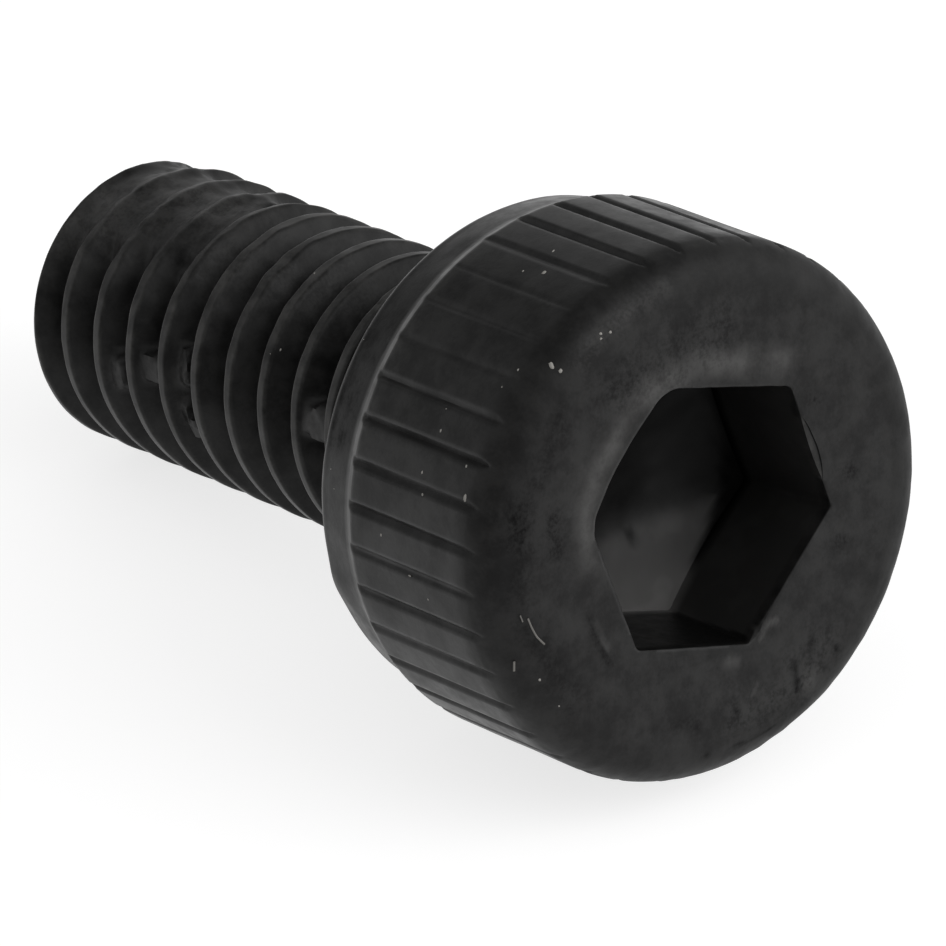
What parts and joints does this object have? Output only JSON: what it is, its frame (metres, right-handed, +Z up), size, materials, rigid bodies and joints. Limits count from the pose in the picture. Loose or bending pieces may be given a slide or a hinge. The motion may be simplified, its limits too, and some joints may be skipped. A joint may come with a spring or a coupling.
{
  "type": "hex socket cap screw",
  "caption": "Black steel socket head cap screw with a straight-knurled cylindrical head, hexagon socket and full-length thread, lying on its side.",
  "frame": {"origin": "centre of the bounding box's footprint, on the table the screw lies on", "axes": "+Z up; +X from the tip toward the head, along the screw's length seen from above; the screw's own axis lies in the XZ plane and rises toward the head by the lean of a screw resting on its head's rim and its thread"},
  "size_m": [0.008, 0.0044, 0.0045],
  "materials": {
    "black_steel": "satin"
  },
  "bodies": {
    "root": {"cap_screw": "black_steel"}
  },
  "joints": []
}
